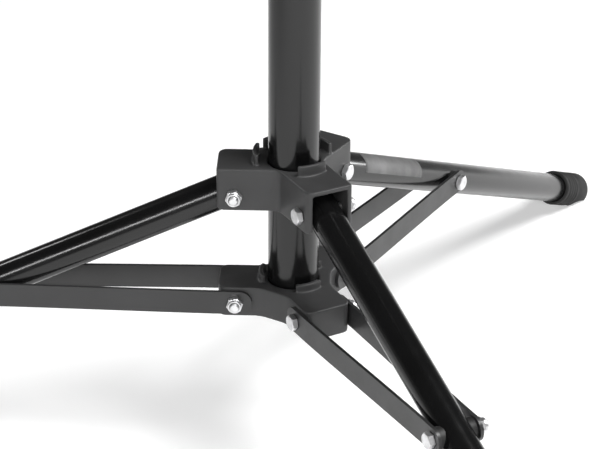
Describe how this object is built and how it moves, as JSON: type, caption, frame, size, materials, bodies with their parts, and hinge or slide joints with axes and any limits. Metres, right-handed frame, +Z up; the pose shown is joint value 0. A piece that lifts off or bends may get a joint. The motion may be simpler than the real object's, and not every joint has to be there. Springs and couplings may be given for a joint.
{
  "type": "crank lighting stand",
  "caption": "Black wind-up stage lighting stand: folding tripod base with flat braces and cast hubs, three-section mast, hand winch with wire rope, and a crossbar.",
  "frame": {"origin": "on the floor, under the mast axis", "axes": "+Z up along the mast, +X towards the winch and along the crossbar, one leg along -X"},
  "size_m": [1.244, 1.045, 1.6763],
  "materials": {
    "tube_paint": "gloss black paint on round steel tube",
    "cast_black": "satin black coat on a casting",
    "bar_paint": "semi-gloss black paint on flat steel",
    "zinc_plate": "bright zinc plate",
    "nylon_black": "matt black nylon",
    "rubber_black": "matt black rubber",
    "bare_steel": "oiled bare steel",
    "knob_plastic": "fine-textured black plastic"
  },
  "bodies": {
    "mast": {"mast_lower_tube": "tube_paint", "mast_bottom_plug": "nylon_black", "brace_hub": "cast_black", "brace_pivot_bolt_front_right": "zinc_plate", "brace_pivot_bolt_rear_right": "zinc_plate", "brace_pivot_bolt_left": "zinc_plate", "mast_head": "cast_black", "mast_head_bush": "nylon_black", "sheave_pin": "zinc_plate", "winch_frame": "bar_paint", "winch_clamp": "bar_paint", "drum_axle": "zinc_plate", "rope_outer_run": "bare_steel", "rope_inner_run": "bare_steel"},
    "leg_hub": {"leg_hub": "cast_black", "leg_pivot_bolt_front_right": "zinc_plate", "leg_pivot_bolt_rear_right": "zinc_plate", "leg_pivot_bolt_left": "zinc_plate"},
    "leg_front_right": {"leg_tube_front_right": "tube_paint", "leg_foot_front_right": "rubber_black", "brace_spacer_front_right": "nylon_black"},
    "leg_rear_right": {"leg_tube_rear_right": "tube_paint", "leg_foot_rear_right": "rubber_black", "brace_spacer_rear_right": "nylon_black"},
    "leg_left": {"leg_tube_left": "tube_paint", "leg_foot_left": "rubber_black", "brace_spacer_left": "nylon_black"},
    "brace_front_right": {"brace_bar_front_right_a": "bar_paint", "brace_bar_front_right_b": "bar_paint", "brace_end_bolt_front_right": "zinc_plate", "brace_end_nut_front_right": "zinc_plate"},
    "brace_rear_right": {"brace_bar_rear_right_a": "bar_paint", "brace_bar_rear_right_b": "bar_paint", "brace_end_bolt_rear_right": "zinc_plate", "brace_end_nut_rear_right": "zinc_plate"},
    "brace_left": {"brace_bar_left_a": "bar_paint", "brace_bar_left_b": "bar_paint", "brace_end_bolt_left": "zinc_plate", "brace_end_nut_left": "zinc_plate"},
    "hub_knob": {"hub_lock_knob": "knob_plastic"},
    "mast_knob": {"mast_lock_knob": "knob_plastic"},
    "middle_knob": {"middle_lock_knob": "knob_plastic"},
    "middle_section": {"middle_tube": "tube_paint", "middle_tube_foot": "nylon_black", "middle_collar": "cast_black"},
    "top_section": {"top_tube": "tube_paint", "top_tube_foot": "nylon_black", "crossbar_socket": "cast_black", "crossbar": "bar_paint", "bar_cap_right": "nylon_black", "bar_cap_left": "nylon_black"},
    "sheave": {"rope_sheave": "bare_steel"},
    "drum": {"winch_drum": "bare_steel", "drum_gear": "bare_steel", "rope_winding": "bare_steel"},
    "crank": {"pinion_shaft": "bare_steel", "crank_arm": "bar_paint"},
    "grip": {"crank_grip": "knob_plastic"},
    "pawl": {"winch_pawl": "zinc_plate"}
  },
  "joints": [
    {"name": "hub_slide", "type": "slide", "parent": "mast", "child": "leg_hub", "axis": [0, 0, 1], "range_m": [0, 0.3619]},
    {"name": "leg_fold_front_right", "type": "hinge", "parent": "leg_hub", "child": "leg_front_right", "pos_m": [0.0257, -0.04451, 0.255], "axis": [0.866, 0.5, 0], "range_deg": [0, 61.5]},
    {"name": "brace_fold_front_right", "type": "hinge", "parent": "mast", "child": "brace_front_right", "pos_m": [0.02545, -0.04408, 0.152], "axis": [-0.866, -0.5, 0], "range_deg": [0, 85.5]},
    {"name": "leg_fold_rear_right", "type": "hinge", "parent": "leg_hub", "child": "leg_rear_right", "pos_m": [0.0257, 0.04451, 0.255], "axis": [-0.866, 0.5, 0], "range_deg": [0, 61.5]},
    {"name": "brace_fold_rear_right", "type": "hinge", "parent": "mast", "child": "brace_rear_right", "pos_m": [0.02545, 0.04408, 0.152], "axis": [0.866, -0.5, 0], "range_deg": [0, 85.5]},
    {"name": "leg_fold_left", "type": "hinge", "parent": "leg_hub", "child": "leg_left", "pos_m": [-0.0514, 0, 0.255], "axis": [0, -1, 0], "range_deg": [0, 61.5]},
    {"name": "brace_fold_left", "type": "hinge", "parent": "mast", "child": "brace_left", "pos_m": [-0.0509, 0, 0.152], "axis": [0, 1, 0], "range_deg": [0, 85.5]},
    {"name": "hub_knob_turn", "type": "hinge", "parent": "leg_hub", "child": "hub_knob", "pos_m": [-0.0225, 0.03897, 0.262], "axis": [-0.5, 0.866, 0], "range_deg": [0, 360]},
    {"name": "mast_knob_turn", "type": "hinge", "parent": "mast", "child": "mast_knob", "pos_m": [-0.05, 0, 1.427], "axis": [-1, 0, 0], "range_deg": [0, 360]},
    {"name": "middle_slide", "type": "slide", "parent": "mast", "child": "middle_section", "axis": [0, 0, 1], "range_m": [0, 0.9], "deforming": ["rope_inner_run"]},
    {"name": "middle_knob_turn", "type": "hinge", "parent": "middle_section", "child": "middle_knob", "pos_m": [-0.042, 0, 1.523], "axis": [-1, 0, 0], "range_deg": [0, 360]},
    {"name": "top_slide", "type": "slide", "parent": "middle_section", "child": "top_section", "axis": [0, 0, 1], "range_m": [0, 0.9]},
    {"name": "sheave_turn", "type": "hinge", "parent": "mast", "child": "sheave", "pos_m": [0.03925, 0, 1.478], "axis": [0, 1, 0], "range_deg": [0, 2580]},
    {"name": "drum_turn", "type": "hinge", "parent": "mast", "child": "drum", "pos_m": [0.08175, 0, 1.08], "axis": [0, -1, 0], "range_deg": [0, 2292]},
    {"name": "crank_turn", "type": "hinge", "parent": "mast", "child": "crank", "pos_m": [0.11775, 0, 1.032], "axis": [0, 1, 0], "range_deg": [0, 9168]},
    {"name": "grip_spin", "type": "hinge", "parent": "crank", "child": "grip", "pos_m": [0.11775, 0.107, 0.852], "axis": [0, 1, 0], "continuous": true},
    {"name": "pawl_lift", "type": "hinge", "parent": "mast", "child": "pawl", "pos_m": [0.045, 0.03, 1.138], "axis": [0, -1, 0], "range_deg": [0, 40], "stiffness_Nm_per_rad": 0.06, "springref_deg": -17.19}
  ],
  "couplings": [
    {"joint": "leg_fold_front_right", "follows": "hub_slide", "rad_per_m": 2.9564},
    {"joint": "brace_fold_front_right", "follows": "hub_slide", "rad_per_m": 4.1094},
    {"joint": "leg_fold_rear_right", "follows": "hub_slide", "rad_per_m": 2.9564},
    {"joint": "brace_fold_rear_right", "follows": "hub_slide", "rad_per_m": 4.1094},
    {"joint": "leg_fold_left", "follows": "hub_slide", "rad_per_m": 2.9564},
    {"joint": "brace_fold_left", "follows": "hub_slide", "rad_per_m": 4.1094},
    {"joint": "top_slide", "follows": "middle_slide", "ratio": 1},
    {"joint": "sheave_turn", "follows": "middle_slide", "rad_per_m": 50},
    {"joint": "drum_turn", "follows": "middle_slide", "rad_per_m": 44.444},
    {"joint": "crank_turn", "follows": "middle_slide", "rad_per_m": 177.78}
  ]
}
